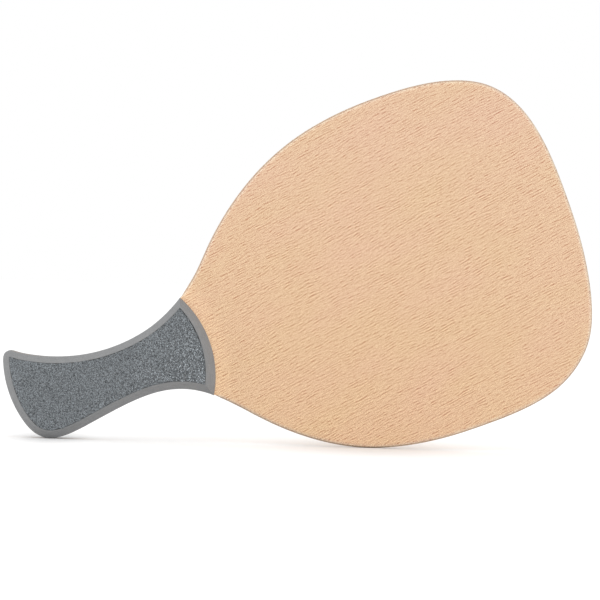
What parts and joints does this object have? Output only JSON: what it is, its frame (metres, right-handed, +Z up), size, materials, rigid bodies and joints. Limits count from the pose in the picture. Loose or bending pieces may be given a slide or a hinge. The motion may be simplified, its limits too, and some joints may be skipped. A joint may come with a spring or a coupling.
{
  "type": "frescobol racket",
  "caption": "Paddle racket with a broad rounded plywood blade, a waisted handle and bevelled foam pads with pebbled rubber facings.",
  "frame": {"origin": "on the ground, under the middle of the racket as it stands on its lower edge", "axes": "+X towards the head, along the line on which the heel and the blade touch the ground; +Y through the blade from the front face to the back; +Z up"},
  "size_m": [0.4174, 0.0246, 0.2628],
  "materials": {
    "face_veneer": "satin",
    "long_grain_ply": "satin",
    "cross_grain_ply": "satin",
    "grip_foam": "matte",
    "grip_rubber": "matte"
  },
  "bodies": {
    "root": {"front_face_veneer": "face_veneer", "front_cross_ply": "cross_grain_ply", "front_long_ply": "long_grain_ply", "core_ply": "cross_grain_ply", "back_long_ply": "long_grain_ply", "back_cross_ply": "cross_grain_ply", "back_face_veneer": "face_veneer", "front_grip_pad": "grip_foam", "front_grip_facing": "grip_rubber", "back_grip_pad": "grip_foam", "back_grip_facing": "grip_rubber"}
  },
  "joints": []
}
